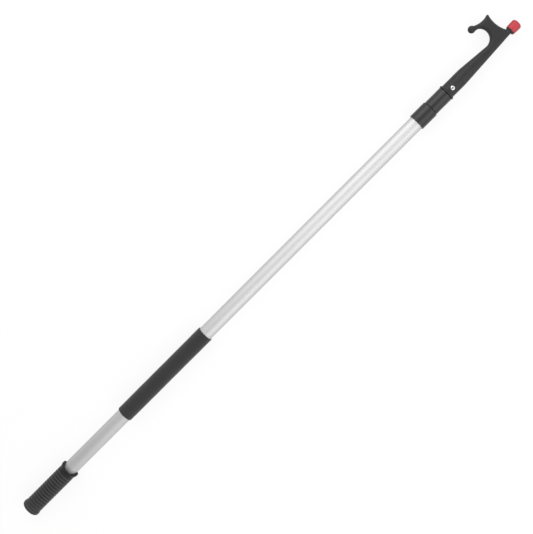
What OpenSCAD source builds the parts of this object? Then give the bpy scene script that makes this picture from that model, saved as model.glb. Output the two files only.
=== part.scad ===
// Telescoping boat hook in three sections with twist locks, drawn collapsed, in millimetres.
// The pole runs along +X from the middle of its butt face, the hook points to +Y, and +Z is up.

/* [Tubes] */
// Outside diameter of the outer tube
outer_tube_d = 25.4; // [21:0.1:32]
// Wall of each tube
tube_wall = 1; // [0.8:0.1:1.2]
// Gap all round between one tube and the next
tube_gap = 0.6; // [0.5:0.05:0.8]
// Length of the outer tube
outer_tube_len = 947.3; // [760:0.1:1200]
// Distance that the middle section slides out
middle_travel = 650; // [500:1:790]
// Room between the inner lock and the plug below it in the collapsed pole
nest_gap = 4; // [2:0.5:20]

/* [End grip] */
// Length of the end grip at the two sides of its lip
grip_len = 103.9; // [85:0.1:125]
// Thickness of its floor under the tube
grip_floor = 8; // [6:0.5:12]
// Thickness of its wall between the ribs
grip_wall = 2; // [1.5:0.1:3]
// Number of ribs
rib_count = 15; // [5:1:15]
// Distance from one rib to the next
rib_pitch = 5; // [3.5:0.1:5]
// Height of a rib above the wall
rib_height = 0.7; // [0.3:0.1:1]
// Radius of a rib's rounded back
rib_round = 1.7; // [1.3:0.1:2]
// Distance from the butt face to the first rib
rib_start = 16; // [14:0.5:20]
// Thickness of the plain band at the butt
butt_band_wall = 3.6; // [2.5:0.1:5]
// Length of the plain band
butt_band_len = 9; // [7:0.5:11]
// Rounding of the butt edge
butt_round = 4; // [2:0.5:5]
// Rounding of the band's other edge
butt_band_round = 2; // [1:0.5:3]
// Thickness of the flared lip at the top
grip_lip_wall = 4; // [3:0.1:6]
// Length of the lip's rim
grip_lip_len = 5; // [3:0.1:6]
// Length over which the lip flares out
grip_flare_len = 6; // [3:0.1:8]
// How much further the mouth reaches along the tube at its two sides than at the top and underneath
grip_mouth_dip = 4.6; // [1:0.1:5]

/* [Foam grip] */
// Distance from the butt face to the foam
foam_start = 237.3; // [130:0.1:400]
// Length of the foam
foam_len = 196.7; // [100:0.1:300]
// Thickness of the foam
foam_wall = 2; // [1.5:0.1:6]
// Rounding of the foam's ends
foam_round = 0.9; // [0.3:0.1:1.2]

/* [Collars] */
// Length of the outer collar
outer_collar_len = 31.5; // [24:0.5:45]
// Thickness of the outer collar around its tube
outer_collar_wall = 2; // [1.5:0.1:3.5]
// Length of the middle collar
middle_collar_len = 34.2; // [24:0.1:50]
// Thickness of the middle collar around its tube
middle_collar_wall = 2.25; // [1.5:0.05:3.5]
// Thickness of the lip that guides the next tube
collar_lip = 3; // [2:0.5:5]
// Rounding of a collar's top edge
collar_round = 1.2; // [0.4:0.1:1.4]
// Rounding of a collar's foot
collar_foot_round = 0.6; // [0.2:0.1:1]
// Gap between one collar and the next in the collapsed pole
rest_gap = 0.3; // [0.2:0.1:1]

/* [Twist locks] */
// Length of the plug inside the foot of its tube
plug_len = 22; // [18:1:30]
// Thickness of the shoulder under the tube
shoulder_len = 3; // [2:0.5:5]
// Length of the split guide ring
ring_len = 8; // [5:0.5:12]
// Thickness of the guide ring
ring_wall = 2.1; // [1.5:0.1:2.4]
// Rounding of the guide ring's edges
ring_round = 0.4; // [0.2:0.1:0.8]
// Width of the split in the guide ring
ring_split = 2; // [1:0.5:4]
// Thickness of the keeper under the guide ring
keeper_len = 2.5; // [2:0.5:4]
// Height of the keeper above the ring's groove
keeper_height = 1.2; // [0.8:0.1:1.5]
// Diameter of the eccentric spindle
spindle_d = 9; // [7:0.5:10]
// Distance of the spindle from the pole's middle
spindle_offset = 0.8; // [0.6:0.05:1]
// Twist from locked to free, in degrees
lock_turn = 45; // [30:5:60]
// Length of the cam
cam_len = 16; // [10:0.5:24]
// Rounding of the cam's edges
cam_round = 1; // [0.5:0.1:2]
// Diameter of the washer under the cam
washer_d = 13; // [11:0.5:15]
// Thickness of the washer
washer_len = 1.2; // [0.8:0.1:2]
// Rounding of the washer's edges
washer_round = 0.3; // [0.1:0.1:0.4]
// Diameter of the cam screw
screw_d = 4; // [3:0.5:5]
// Length of the cam screw under its head
screw_len = 14; // [10:1:18]
// Diameter of the screw head
screw_head_d = 8; // [6:0.5:9]
// Height of the screw head
screw_head_len = 2.6; // [1.5:0.1:4]
// Rounding of the screw head
screw_head_round = 1; // [0.4:0.1:1.4]
// Diameter of the cross pin
pin_d = 3; // [2:0.5:4]
// Depth of the pin's ends under the tube's surface
pin_sink = 0.3; // [0.2:0.05:0.6]

/* [Hook head socket] */
// Length of the socket from the flange's face
socket_len = 34; // [28:0.5:45]
// Thickness of the socket around the inner tube
socket_wall = 2.9; // [2.4:0.1:4]
// Step from the socket down to the shank
socket_step = 0.3; // [0.2:0.05:0.8]
// Depth of the socket
socket_depth = 30; // [22:0.5:30]
// Height of the flange above the socket
flange_height = 1.9; // [1:0.1:3]
// Thickness of the flange
flange_len = 2.6; // [2:0.1:4]
// Rounding of the flange's edge next to the collar
flange_round = 0.5; // [0.2:0.1:1]
// Radius of the fillet above the flange
flange_fillet = 1.6; // [1:0.1:1.8]
// Distance of the rivets from the flange's face
rivet_x = 12; // [9:0.5:18]
// Turn of the rivets from the top of the head, in degrees
rivet_clock = 8; // [0:1:30]
// Diameter of a rivet's body
rivet_d = 4; // [3:0.2:4.8]
// Diameter of a rivet's head
rivet_head_d = 7.6; // [6:0.2:9]
// Margin of the flat seat round a rivet's head
rivet_seat_margin = 0.3; // [0.1:0.1:0.6]
// Depth of the flat seat at its shallowest
rivet_seat_sink = 0.15; // [0.1:0.05:0.4]
// Height of a rivet's head
rivet_head_len = 1.2; // [0.8:0.1:1.6]
// Rounding of a rivet's head
rivet_head_round = 0.95; // [0.4:0.05:1.1]
// Diameter of a rivet's clinched end
rivet_bulb_d = 5.8; // [5:0.2:6.4]
// Length of a rivet's clinched end
rivet_bulb_len = 2.8; // [2:0.1:3.2]
// Rounding of a rivet's clinched end
rivet_bulb_round = 0.5; // [0.2:0.1:1]
// Diameter of a rivet's mandrel
mandrel_d = 2.1; // [1.6:0.1:2.4]
// Depth of the mandrel's broken end under the top of the rivet
mandrel_sink = 0.8; // [0.4:0.1:1]
// Diameter of the mandrel's head
mandrel_head_d = 3.4; // [2.8:0.1:4]
// Length of the mandrel's head
mandrel_head_len = 1.4; // [1:0.1:2]

/* [Hook head crown] */
// Distance from the flange's face to the middle of the throat
throat_x = 97.8; // [94:0.1:104]
// Distance from the pole's middle to the middle of the throat
throat_y = 23.6; // [22:0.1:26]
// Radius of the throat
throat_r = 16.4; // [14.5:0.1:16.8]
// Half width of the shank at the neck, on the side away from the hook
shank_lower = 5.7; // [4.5:0.1:6.5]
// Half width of the neck's root on the hook's side
shank_upper = 4.2; // [3.5:0.1:6]
// Thickness of the crown
crown_t = 13; // [10:0.5:15]
// How far the rounding of the crown's edges reaches in
crown_edge = 6; // [4:0.5:7]
// Thickness of the arm next to the ball
arm_t = 8.4; // [6:0.2:10]
// Radius of the ball at the end of the arm
ball_r = 6.2; // [5.6:0.1:6.6]
// Distance from the middle of the throat to the middle of the ball
ball_reach = 19.9; // [19.4:0.1:21]
// Direction of the ball from the middle of the throat, in degrees
ball_angle = 84.1; // [80:0.1:90]
// Reach of the spike beyond the middle of the throat
spike_x = 37.5; // [36:0.1:39]
// Height of the spike above the middle of the throat
spike_y = 20; // [19:0.1:21]
// Radius of the hollow between the ball and the spike
brow_r = 32.5; // [30:0.5:40]
// Radius of the hollow between the spike and the neck
front_r = 49; // [42:0.5:60]

/* [Tip] */
// Distance from the flange's face to the neck
neck_x = 138.2; // [137:0.1:141]
// Radius of the neck where it leaves the crown
neck_r = 3.8; // [3:0.1:4.2]
// Length of the flare under the cap
neck_flare_len = 3.7; // [3:0.1:6]
// Radius of the flare under the cap
neck_flare_r = 7.9; // [7:0.1:8.2]
// Rounding of the flare's foot
neck_flare_round = 2.8; // [2:0.1:2.9]
// Drop of the tip below the pole's middle
tip_drop = 1.65; // [0:0.05:2]
// Radius of the peg inside the cap
peg_r = 5.2; // [4:0.1:6]
// Length of the peg
peg_len = 11; // [8:0.5:13]
// Rounding of the peg's end
peg_round = 1; // [0.5:0.1:2]
// Radius of the cap at its foot
cap_foot_r = 8.35; // [7.5:0.05:9]
// Radius of the cap at its widest
cap_r = 8.8; // [8:0.05:10]
// Length of the cap
cap_len = 16.8; // [15:0.1:20]
// Length over which the cap widens
cap_taper_len = 12; // [8:0.5:12.5]
// Rounding of the cap's end
cap_round = 4; // [2:0.5:6]

/* [Fits] */
// Radial clearance of a piece that is pushed on and stays
push_fit = 0.05; // [0.02:0.01:0.1]
// Radial clearance of a piece that slides or turns
running_fit = 0.1; // [0.05:0.01:0.15]
// End play of a guide ring or a cam
end_play = 0.15; // [0.1:0.05:0.3]
// Gap that stays at the end of a section's travel
stop_gap = 0.3; // [0.2:0.1:1]

/* [Hidden] */
$fn = 96;
black = "#3a3b3d";
// A cut reaches this far past the faces that it opens
cut_over = 1;
// Joined shapes reach this far into each other
overlap = 2;

// Radii of the tubes, each nested in the one before
outer_r = outer_tube_d / 2;
outer_bore = outer_r - tube_wall;
middle_r = outer_bore - tube_gap;
middle_bore = middle_r - tube_wall;
inner_r = middle_bore - tube_gap;
inner_bore = inner_r - tube_wall;

// Places along the pole, from the butt face
outer_end = grip_floor + outer_tube_len;
outer_collar_top = outer_end + collar_lip;
middle_collar_foot = outer_collar_top + rest_gap;
middle_collar_top = middle_collar_foot + middle_collar_len;
middle_end = middle_collar_top - collar_lip;
head_x = middle_collar_top + rest_gap;
inner_end = head_x + socket_depth;

// Radii of the hook head
socket_bore = inner_r + push_fit;
socket_r = inner_r + socket_wall;
flange_r = socket_r + flange_height;
// A rivet's head sits on a round flat cut into the socket
rivet_seat_r = rivet_head_d / 2 + rivet_seat_margin;
rivet_seat = sqrt(socket_r ^ 2 - rivet_seat_r ^ 2) - rivet_seat_sink;
rivet_clinch = sqrt(inner_bore ^ 2 - (rivet_bulb_d / 2) ^ 2) - push_fit;
rivet_foot = rivet_clinch - rivet_bulb_len;
rivet_bore = mandrel_d / 2 + push_fit;

// A lock is given by the foot of its tube, the tube's radius and the bore that it locks in.
// Its guide ring meets the lip of the collar above at the end of the travel.
lock_len = shoulder_len + 4 * end_play + ring_len + keeper_len + cam_len + washer_len + screw_head_len;
middle_foot = outer_end - middle_travel - stop_gap + shoulder_len + end_play;
inner_foot = middle_foot + plug_len + nest_gap + lock_len;
middle_lock = [middle_foot, middle_r, outer_bore];
inner_lock = [inner_foot, inner_r, middle_bore];
function foot_x(lock) = lock[0];
function tube_r(lock) = lock[1];
function wall_r(lock) = lock[2];
function ring_x(lock) = foot_x(lock) - shoulder_len - end_play - ring_len;
function keeper_x(lock) = ring_x(lock) - end_play - keeper_len;
function cam_x(lock) = keeper_x(lock) - end_play - cam_len;
function washer_x(lock) = cam_x(lock) - end_play - washer_len;
function ring_r(lock) = wall_r(lock) - running_fit;
function groove_r(lock) = ring_r(lock) - ring_wall - running_fit;
// The cam is round the pole's middle when its offset lies along the spindle's,
// and is locked when turned away
spindle_at = spindle_offset * [cos(-lock_turn), sin(-lock_turn)];
cam_at = spindle_at - spindle_offset * [1, 0];
function cam_r(lock) = wall_r(lock) - norm(cam_at) - running_fit;

// The sliding range of the inner section follows from the room above its guide ring
inner_travel = middle_end - stop_gap - (ring_x(inner_lock) + ring_len);
echo(middle_travel = middle_travel, inner_travel = inner_travel, head_x = head_x);
echo(spindle_y = spindle_at.x, spindle_z = spindle_at.y);
echo(tip_x = head_x + neck_x + neck_flare_len + cap_len);

function mix(a, b, t) = a + (b - a) * t;
function ease(t) = let (s = max(0, min(1, t))) s * s * (3 - 2 * s);
function spread(a, b, count) = [for (i = [0 : count - 1]) mix(a, b, i / count)];

// Turns a shape that stands on Z to lie along the pole, from x on
module along_pole(x) {
    translate([x, 0, 0])
        rotate([0, 90, 0])
            children();
}

// Turns a shape drawn on Z to stand out from the pole at x, turned from the top by an angle
module out_of_pole(x, turn = 0) {
    translate([x, 0, 0])
        rotate([turn, 0, 0])
            children();
}

// Ring section from one radius to the next, for turning, with its outer corners rounded
module ring_section(r_in, r_out, len, low_round, top_round) {
    difference() {
        translate([r_in, 0])
            square([r_out - r_in, len]);
        corner_cut(r_out, 0, low_round, 1);
        corner_cut(r_out, len, top_round, -1);
    }
}

// What a rounding takes off an outer corner at radius r and height z,
// with the section above (1) or below (-1)
module corner_cut(r, z, round, side) {
    if (round > 0) {
        difference() {
            translate([r - round, side > 0 ? z - cut_over : z - round])
                square([round + cut_over, round + cut_over]);
            translate([r - round, z + side * round])
                circle(r = round);
        }
    }
}

module tube(x, len, r, bore) {
    along_pole(x)
        rotate_extrude()
            ring_section(bore, r, len, 0, 0);
}

// Hole across a tube for a pin or a rivet
module cross_hole(x, r, turn = 0) {
    out_of_pole(x, turn)
        cylinder(h = outer_tube_d, r = r, center = true);
}

function pin_x(lock) = foot_x(lock) + plug_len / 2;

// Collar on the end of a tube, with a lip that guides the tube inside it
module collar(x, len, tube_r, wall, next_r) {
    along_pole(x)
        rotate_extrude() {
            difference() {
                ring_section(next_r + running_fit, tube_r + wall, len, collar_foot_round, collar_round);
                translate([0, -cut_over])
                    square([tube_r + push_fit, len - collar_lip + cut_over]);
            }
        }
}

// Plug in the foot of a tube: shoulder, groove for the guide ring, keeper and eccentric spindle
module lock_plug(lock) {
    insert_r = tube_r(lock) - tube_wall - push_fit;
    keeper_r = groove_r(lock) + keeper_height;
    groove_len = ring_len + 2 * end_play;
    stem_len = keeper_len + groove_len;
    difference() {
        union() {
            along_pole(keeper_x(lock)) {
                cylinder(h = keeper_len, r = keeper_r);
                cylinder(h = stem_len, r = groove_r(lock));
                translate([0, 0, stem_len])
                    cylinder(h = shoulder_len, r = tube_r(lock));
                translate([0, 0, stem_len])
                    cylinder(h = shoulder_len + plug_len, r = insert_r);
            }
            on_spindle(cam_x(lock) - end_play)
                cylinder(h = cam_len + 2 * end_play, r = spindle_d / 2);
        }
        on_spindle(cam_x(lock) - end_play - cut_over)
            cylinder(h = screw_len - washer_len + 2 * cut_over, r = screw_d / 2 + push_fit);
        cross_hole(pin_x(lock), pin_d / 2 + push_fit);
    }
}

module on_spindle(x) {
    translate([0, spindle_at.x, spindle_at.y])
        along_pole(x)
            children();
}

// Pin through a tube and its plug, with its ends just under the surface
module plug_pin(lock) {
    out_of_pole(pin_x(lock))
        cylinder(h = 2 * (tube_r(lock) - pin_sink), r = pin_d / 2, center = true);
}

// Split ring that slides in the larger tube while the plug turns in it
module guide_ring(lock) {
    along_pole(ring_x(lock))
        difference() {
            rotate_extrude()
                ring_section(ring_r(lock) - ring_wall, ring_r(lock), ring_len, ring_round, ring_round);
            translate([0, -ring_split / 2, -cut_over])
                cube([ring_r(lock) + cut_over, ring_split, ring_len + 2 * cut_over]);
        }
}

// Drum that turns on the eccentric spindle, with its bore as far off its middle as the spindle
module cam(lock) {
    difference() {
        translate([0, cam_at.x, cam_at.y])
            along_pole(cam_x(lock))
                rotate_extrude()
                    ring_section(0, cam_r(lock), cam_len, cam_round, cam_round);
        on_spindle(cam_x(lock) - cut_over)
            cylinder(h = cam_len + 2 * cut_over, r = spindle_d / 2 + running_fit);
    }
}

module cam_washer(lock) {
    on_spindle(washer_x(lock))
        rotate_extrude()
            ring_section(screw_d / 2 + push_fit, washer_d / 2, washer_len, washer_round, washer_round);
}

module cam_screw(lock) {
    on_spindle(washer_x(lock)) {
        cylinder(h = screw_len, r = screw_d / 2);
        translate([0, 0, -screw_head_len])
            rotate_extrude()
                ring_section(0, screw_head_d / 2, screw_head_len, screw_head_round, 0);
    }
}

module outer_tube() {
    color("silver")
        tube(grip_floor, outer_tube_len, outer_r, outer_bore);
}

// Rubber cap over the butt of the outer tube, with a plain band, ribs and a flared lip
module butt_grip() {
    wall_out = outer_r + grip_wall;
    band_r = outer_r + butt_band_wall;
    lip_r = outer_r + grip_lip_wall;
    mouth_len = grip_flare_len + grip_lip_len;
    flare_x = grip_len - mouth_len;
    flare_height = lip_r - wall_out;
    flare_round = (grip_flare_len ^ 2 + flare_height ^ 2) / (2 * flare_height);
    // The mouth is rounded about a line across the pole
    mouth_round = (outer_r ^ 2 + grip_mouth_dip ^ 2) / (2 * grip_mouth_dip);
    mouth_side = 2 * (lip_r + cut_over);
    color(black)
        difference() {
            along_pole(0)
                rotate_extrude()
                    difference() {
                        union() {
                            square([wall_out, grip_len - grip_lip_len / 2]);
                            ring_section(0, band_r, butt_band_len, butt_round, butt_band_round);
                            for (i = [0 : rib_count - 1])
                                translate([wall_out + rib_height - rib_round, rib_start + i * rib_pitch])
                                    circle(r = rib_round);
                            difference() {
                                translate([0, flare_x])
                                    ring_section(0, lip_r, mouth_len, 0, grip_lip_len / 2);
                                translate([wall_out + flare_round, flare_x])
                                    circle(r = flare_round);
                            }
                        }
                        translate([0, grip_floor])
                            square([outer_r + push_fit, grip_len]);
                    }
            translate([grip_len - mouth_round, 0, 0])
                difference() {
                    translate([0, -mouth_side / 2, -mouth_side / 2])
                        cube([mouth_round + cut_over, mouth_side, mouth_side]);
                    rotate([90, 0, 0])
                        cylinder(h = mouth_side + cut_over, r = mouth_round, center = true);
                }
        }
}

module foam_grip() {
    color("#2e2f31")
        along_pole(foam_start)
            rotate_extrude()
                ring_section(outer_r + push_fit, outer_r + foam_wall, foam_len, foam_round, foam_round);
}

module outer_collar() {
    color(black)
        collar(outer_collar_top - outer_collar_len, outer_collar_len, outer_r, outer_collar_wall, middle_r);
}

module middle_tube() {
    color("silver")
        difference() {
            tube(middle_foot, middle_end - middle_foot, middle_r, middle_bore);
            cross_hole(pin_x(middle_lock), pin_d / 2 + push_fit);
        }
}

module middle_collar() {
    color(black)
        collar(middle_collar_foot, middle_collar_len, middle_r, middle_collar_wall, inner_r);
}

module inner_tube() {
    color("silver")
        difference() {
            tube(inner_foot, inner_end - inner_foot, inner_r, inner_bore);
            cross_hole(pin_x(inner_lock), pin_d / 2 + push_fit);
            cross_hole(head_x + rivet_x, rivet_d / 2 + push_fit, rivet_clock);
        }
}

module middle_lock_plug() {
    color("gainsboro")
        lock_plug(middle_lock);
}

module inner_lock_plug() {
    color("gainsboro")
        lock_plug(inner_lock);
}

module middle_plug_pin() {
    color("dimgray")
        plug_pin(middle_lock);
}

module inner_plug_pin() {
    color("dimgray")
        plug_pin(inner_lock);
}

module middle_guide_ring() {
    color("white")
        guide_ring(middle_lock);
}

module inner_guide_ring() {
    color("white")
        guide_ring(inner_lock);
}

module middle_cam() {
    color(black)
        cam(middle_lock);
}

module inner_cam() {
    color(black)
        cam(inner_lock);
}

module middle_cam_washer() {
    color("gray")
        cam_washer(middle_lock);
}

module inner_cam_washer() {
    color("gray")
        cam_washer(inner_lock);
}

module middle_cam_screw() {
    color("gray")
        cam_screw(middle_lock);
}

module inner_cam_screw() {
    color("gray")
        cam_screw(inner_lock);
}

// The crown is lofted through flat sections, each from a point on the hook's inner side to one on its
// outer side. Up the shank they stand square to the pole, and from there they fan round the middle of
// the throat to the ball.
function ray(angle) = [cos(angle), sin(angle)];
throat_at = [throat_x, throat_y];
// Direction of the first section of the fan, in degrees
throat_start = -92;
throat_foot = throat_at + throat_r * ray(throat_start);
ball_at = throat_at + ball_reach * ray(ball_angle);
ball_half_angle = asin(ball_r / ball_reach);
ball_start_angle = ball_angle - ball_half_angle;
// The last section is this share of the way to the ball's far side, and as small
ball_end_share = 0.995;
ball_end_angle = ball_angle + ball_end_share * ball_half_angle;
// The ball alone shows from here on
arm_end_turn = -ball_half_angle / 3;
spike_at = throat_at + [spike_x, spike_y];
// Direction in which the throat's edge faces the spike, in degrees
spike_root_angle = -10;
shank_r = socket_r - socket_step;
shank_low = [socket_len - overlap, -shank_r];
shank_high = [socket_len - overlap, shank_r];
neck_low = [neck_x, -shank_lower];
neck_high = [neck_x, shank_upper];
neck_low_angle = atan2(neck_low.y - throat_y, neck_low.x - throat_x);
neck_high_angle = atan2(neck_high.y - throat_y, neck_high.x - throat_x);

// Middle of a circle of radius r through two points, on the left of the way from the first to the second
function arc_middle(from, to, r) =
    let (half = (to - from) / 2, side = [-half.y, half.x] / norm(half))
    from + half + side * sqrt(r ^ 2 - half * half);
// The brow runs from the ball to the spike, and the front hollow from the spike to the neck
brow_on_ball = [0.79, 0.46];
brow_at = arc_middle(ball_at + ball_r * brow_on_ball, spike_at, brow_r);
front_at = arc_middle(spike_at, neck_high, front_r);

// Distances from the middle of the throat along a ray, to a line through two points and to the near
// side of a circle
function ray_to_line(angle, from, to) =
    cross(from - throat_at, to - from) / cross(ray(angle), to - from);
function ray_to_circle(angle, middle, r) =
    let (way = middle - throat_at, along = way * ray(angle))
    along - sqrt(max(0, along ^ 2 - way * way + r ^ 2));
function heel_reach(angle) =
    angle < neck_low_angle
        ? ray_to_line(angle, shank_low, neck_low)
        : ray_to_line(angle, neck_low, neck_high);
function brow_reach(angle) = ray_to_circle(angle, brow_at, brow_r);
brow_end = throat_at + brow_reach(ball_start_angle) * ray(ball_start_angle);

// Turn about a middle from one point to another, in degrees, and the point at a share t of that turn
function arc_turn(middle, from, to) =
    let (a = from - middle, b = to - middle)
    atan2(cross(a, b), a * b);
function on_arc(middle, from, to, t) =
    let (a = from - middle, turn = t * arc_turn(middle, from, to))
    middle + [a.x * cos(turn) - a.y * sin(turn), a.x * sin(turn) + a.y * cos(turn)];
function on_front(t) = on_arc(front_at, neck_high, spike_at, t);
function on_brow(t) = on_arc(brow_at, spike_at, brow_end, t);
function arc_len(middle, from, to) = norm(from - middle) * abs(arc_turn(middle, from, to)) * PI / 180;

// The spike is rounded off this far from the sharp point of its two hollows
spike_blunting = 1.8;
front_end = 1 - spike_blunting / arc_len(front_at, neck_high, spike_at);
brow_start = spike_blunting / arc_len(brow_at, spike_at, brow_end);
// Share of the way from the middle of the blunted end to the sharp point that the rounding reaches
spike_tip_share = 0.29;
spike_tip = mix((on_front(front_end) + on_brow(brow_start)) / 2, spike_at, spike_tip_share);

// A section is [inner point, outer point, half thickness, inner rounding, outer rounding, power of the
// outer rounding]. A power of 2 is round, and a smaller one is sharper.
round_power = 2;
spike_power = 1.8;
// Share of the crown's flat that the sharpened edge of the spike takes up
spike_edge_share = 0.5;
// Share of each hollow over which the crown's edge sharpens to the spike
spike_share = 0.45;
function shank_section(x) =
    let (
        t = (x - shank_low.x) / (throat_foot.x - shank_low.x),
        upper = mix(shank_high.y, throat_foot.y, t),
        lower = mix(shank_low.y, neck_low.y, (x - shank_low.x) / (neck_low.x - shank_low.x)),
        round = mix((upper - lower) / 2, min(crown_edge, (upper - lower) / 2), ease(t))
    )
    [[x, upper], [x, lower], mix(shank_r, crown_t / 2, ease(t)), round, round, round_power];

function crown_section(angle, outer, on_arm = 0, to_spike = 0) =
    let (
        inner = throat_at + throat_r * ray(angle),
        width = norm(outer - inner),
        round = min(crown_edge, width / 2)
    )
    [
        inner,
        outer,
        mix(crown_t, arm_t, on_arm) / 2,
        round,
        mix(round, width - round, spike_edge_share * to_spike),
        mix(round_power, spike_power, to_spike)
    ];
function heel_section(angle) = crown_section(angle, throat_at + heel_reach(angle) * ray(angle));
function front_section(t) =
    crown_section(mix(neck_high_angle, spike_root_angle, t), on_front(t), 0, ease(1 - (1 - t) / spike_share));
function brow_section(t) =
    crown_section(mix(spike_root_angle, ball_start_angle, t), on_brow(t), ease(t), ease(1 - t / spike_share));

// Where the arm runs into the ball, a section reaches round whichever is larger, with a fillet underneath
arm_fillet = 2;
function smooth_min(a, b, width) = min(a, b) - max(0, width - abs(a - b)) ^ 2 / (4 * width);
function ball_section(angle) =
    let (
        turn = angle - ball_angle,
        half = sqrt(max(0, ball_r ^ 2 - (ball_reach * sin(turn)) ^ 2)),
        middle = ball_reach * cos(turn),
        on_arm = turn < arm_end_turn,
        low = on_arm ? smooth_min(middle - half, throat_r, arm_fillet) : middle - half,
        high = on_arm ? max(middle + half, brow_reach(angle)) : middle + half,
        round = (high - low) / 2
    )
    [
        throat_at + low * ray(angle),
        throat_at + high * ray(angle),
        on_arm ? max(half, arm_t / 2) : half,
        round,
        round,
        round_power
    ];

// Numbers of sections from one of these places to the next
shank_steps = 8;
heel_steps = 10;
neck_steps = 3;
front_steps = 12;
brow_steps = 14;
ball_steps = 18;
crown_sections = concat(
    [for (x = spread(shank_low.x, throat_foot.x - overlap, shank_steps)) shank_section(x)],
    [for (a = spread(throat_start, neck_low_angle, heel_steps)) heel_section(a)],
    [for (a = spread(neck_low_angle, neck_high_angle, neck_steps)) heel_section(a)],
    [for (t = spread(0, front_end, front_steps)) front_section(t)],
    [front_section(front_end), crown_section(spike_root_angle, spike_tip, 0, 1)],
    [for (t = spread(brow_start, 1, brow_steps)) brow_section(t)],
    [for (a = spread(ball_start_angle, ball_end_angle, ball_steps)) ball_section(a)],
    [ball_section(ball_end_angle)]
);

// Points around one section, from its outer edge over the top, with a flat between the two roundings
section_count = 30;
function section_point(section, angle) =
    let (
        outer = cos(angle) > 0,
        way = (section[1] - section[0]) / norm(section[1] - section[0]),
        power = outer ? section[5] : round_power,
        in = (outer ? section[4] : section[3]) * (1 - abs(cos(angle)) ^ (2 / power)),
        at = outer ? section[1] - in * way : section[0] + in * way
    )
    [at.x, at.y, section[2] * sign(sin(angle)) * abs(sin(angle)) ^ (2 / power)];

module loft(sections, count) {
    last = len(sections) - 1;
    points = [for (s = sections) for (k = [0 : count - 1]) section_point(s, 360 * k / count)];
    function id(i, k) = i * count + k % count;
    sides = [
        for (i = [0 : last - 1])
            for (k = [0 : count - 1])
                each [
                    [id(i, k), id(i, k + 1), id(i + 1, k + 1)],
                    [id(i, k), id(i + 1, k + 1), id(i + 1, k)]
                ]
    ];
    ends = [
        [for (k = [0 : count - 1]) id(0, count - 1 - k)],
        [for (k = [0 : count - 1]) id(last, k)]
    ];
    polyhedron(points = points, faces = concat(sides, ends));
}

// Share of the flange's height that its fillet may take
fillet_limit = 0.85;

// Socket of the head, with its flange, the bore for the inner tube and the flats under the rivets
module head_socket() {
    fillet = min(flange_fillet, fillet_limit * flange_height);
    difference() {
        along_pole(0)
            rotate_extrude()
                difference() {
                    union() {
                        ring_section(0, socket_r, socket_len, 0, socket_step);
                        ring_section(0, flange_r, flange_len, flange_round, flange_height - fillet);
                        translate([0, flange_len / 2])
                            difference() {
                                square([socket_r + fillet, flange_len / 2 + fillet]);
                                translate([socket_r + fillet, flange_len / 2 + fillet])
                                    circle(r = fillet);
                            }
                    }
                    translate([0, -cut_over])
                        square([socket_bore, socket_depth + cut_over]);
                }
        cross_hole(rivet_x, rivet_d / 2 + push_fit, rivet_clock);
        for (turn = [0, 180])
            out_of_pole(rivet_x, rivet_clock + turn)
                translate([0, 0, rivet_seat])
                    cylinder(h = socket_r, r = rivet_seat_r);
    }
}

// Length of the neck's root inside the crown
neck_root_len = 12;
// How far the flare's foot is sunk in the crown
flare_sink = 0.6;

// Neck, flare and peg that carry the cap
module head_tip() {
    translate([0, -tip_drop, 0])
        along_pole(neck_x) {
            translate([0, 0, -neck_root_len])
                cylinder(h = neck_root_len, r = neck_r);
            rotate_extrude() {
                translate([0, -flare_sink])
                    ring_section(0, neck_flare_r, neck_flare_len + flare_sink, neck_flare_round, 0);
                translate([0, neck_flare_len])
                    ring_section(0, peg_r, peg_len, 0, peg_round);
            }
        }
}

module hook_head() {
    color(black)
        translate([head_x, 0, 0]) {
            head_socket();
            loft(crown_sections, section_count);
            head_tip();
        }
}

// Both blind rivets, each with its head on the flat of the socket and its clinched end inside the tube
module head_rivets() {
    body_len = rivet_seat + rivet_head_len / 2 - rivet_foot;
    color("gainsboro")
        for (turn = [0, 180])
            out_of_pole(head_x + rivet_x, rivet_clock + turn)
                rotate_extrude() {
                    translate([0, rivet_foot])
                        ring_section(rivet_bore, rivet_bulb_d / 2, rivet_bulb_len, rivet_bulb_round, 0);
                    translate([0, rivet_foot])
                        ring_section(rivet_bore, rivet_d / 2, body_len, 0, 0);
                    translate([0, rivet_seat])
                        ring_section(rivet_bore, rivet_head_d / 2, rivet_head_len, 0, rivet_head_round);
                }
}

// What is left of the mandrels inside the rivets
module rivet_mandrels() {
    foot = rivet_foot - mandrel_head_len;
    top = rivet_seat + rivet_head_len - mandrel_sink;
    color("dimgray")
        for (turn = [0, 180])
            out_of_pole(head_x + rivet_x, rivet_clock + turn)
                translate([0, 0, foot]) {
                    cylinder(h = top - foot, r = mandrel_d / 2);
                    cylinder(h = mandrel_head_len, r = mandrel_head_d / 2);
                }
}

// Cap over the peg, which widens from its foot and has a rounded end
module tip_cap() {
    slope = (cap_r - cap_foot_r) / cap_taper_len;
    low = -cut_over;
    high = cap_len + cut_over;
    color("#d8434f")
        translate([head_x, -tip_drop, 0])
            along_pole(neck_x + neck_flare_len)
                rotate_extrude()
                    difference() {
                        intersection() {
                            ring_section(0, cap_r, cap_len, 0, cap_round);
                            polygon([
                                [0, low],
                                [cap_foot_r + low * slope, low],
                                [cap_foot_r + high * slope, high],
                                [0, high]
                            ]);
                        }
                        translate([0, -cut_over])
                            square([peg_r + push_fit, peg_len + push_fit + cut_over]);
                    }
}

outer_tube();
butt_grip();
foam_grip();
outer_collar();
middle_tube();
middle_collar();
middle_lock_plug();
middle_plug_pin();
middle_guide_ring();
middle_cam();
middle_cam_washer();
middle_cam_screw();
inner_tube();
inner_lock_plug();
inner_plug_pin();
inner_guide_ring();
inner_cam();
inner_cam_washer();
inner_cam_screw();
hook_head();
head_rivets();
rivet_mandrels();
tip_cap();
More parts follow.
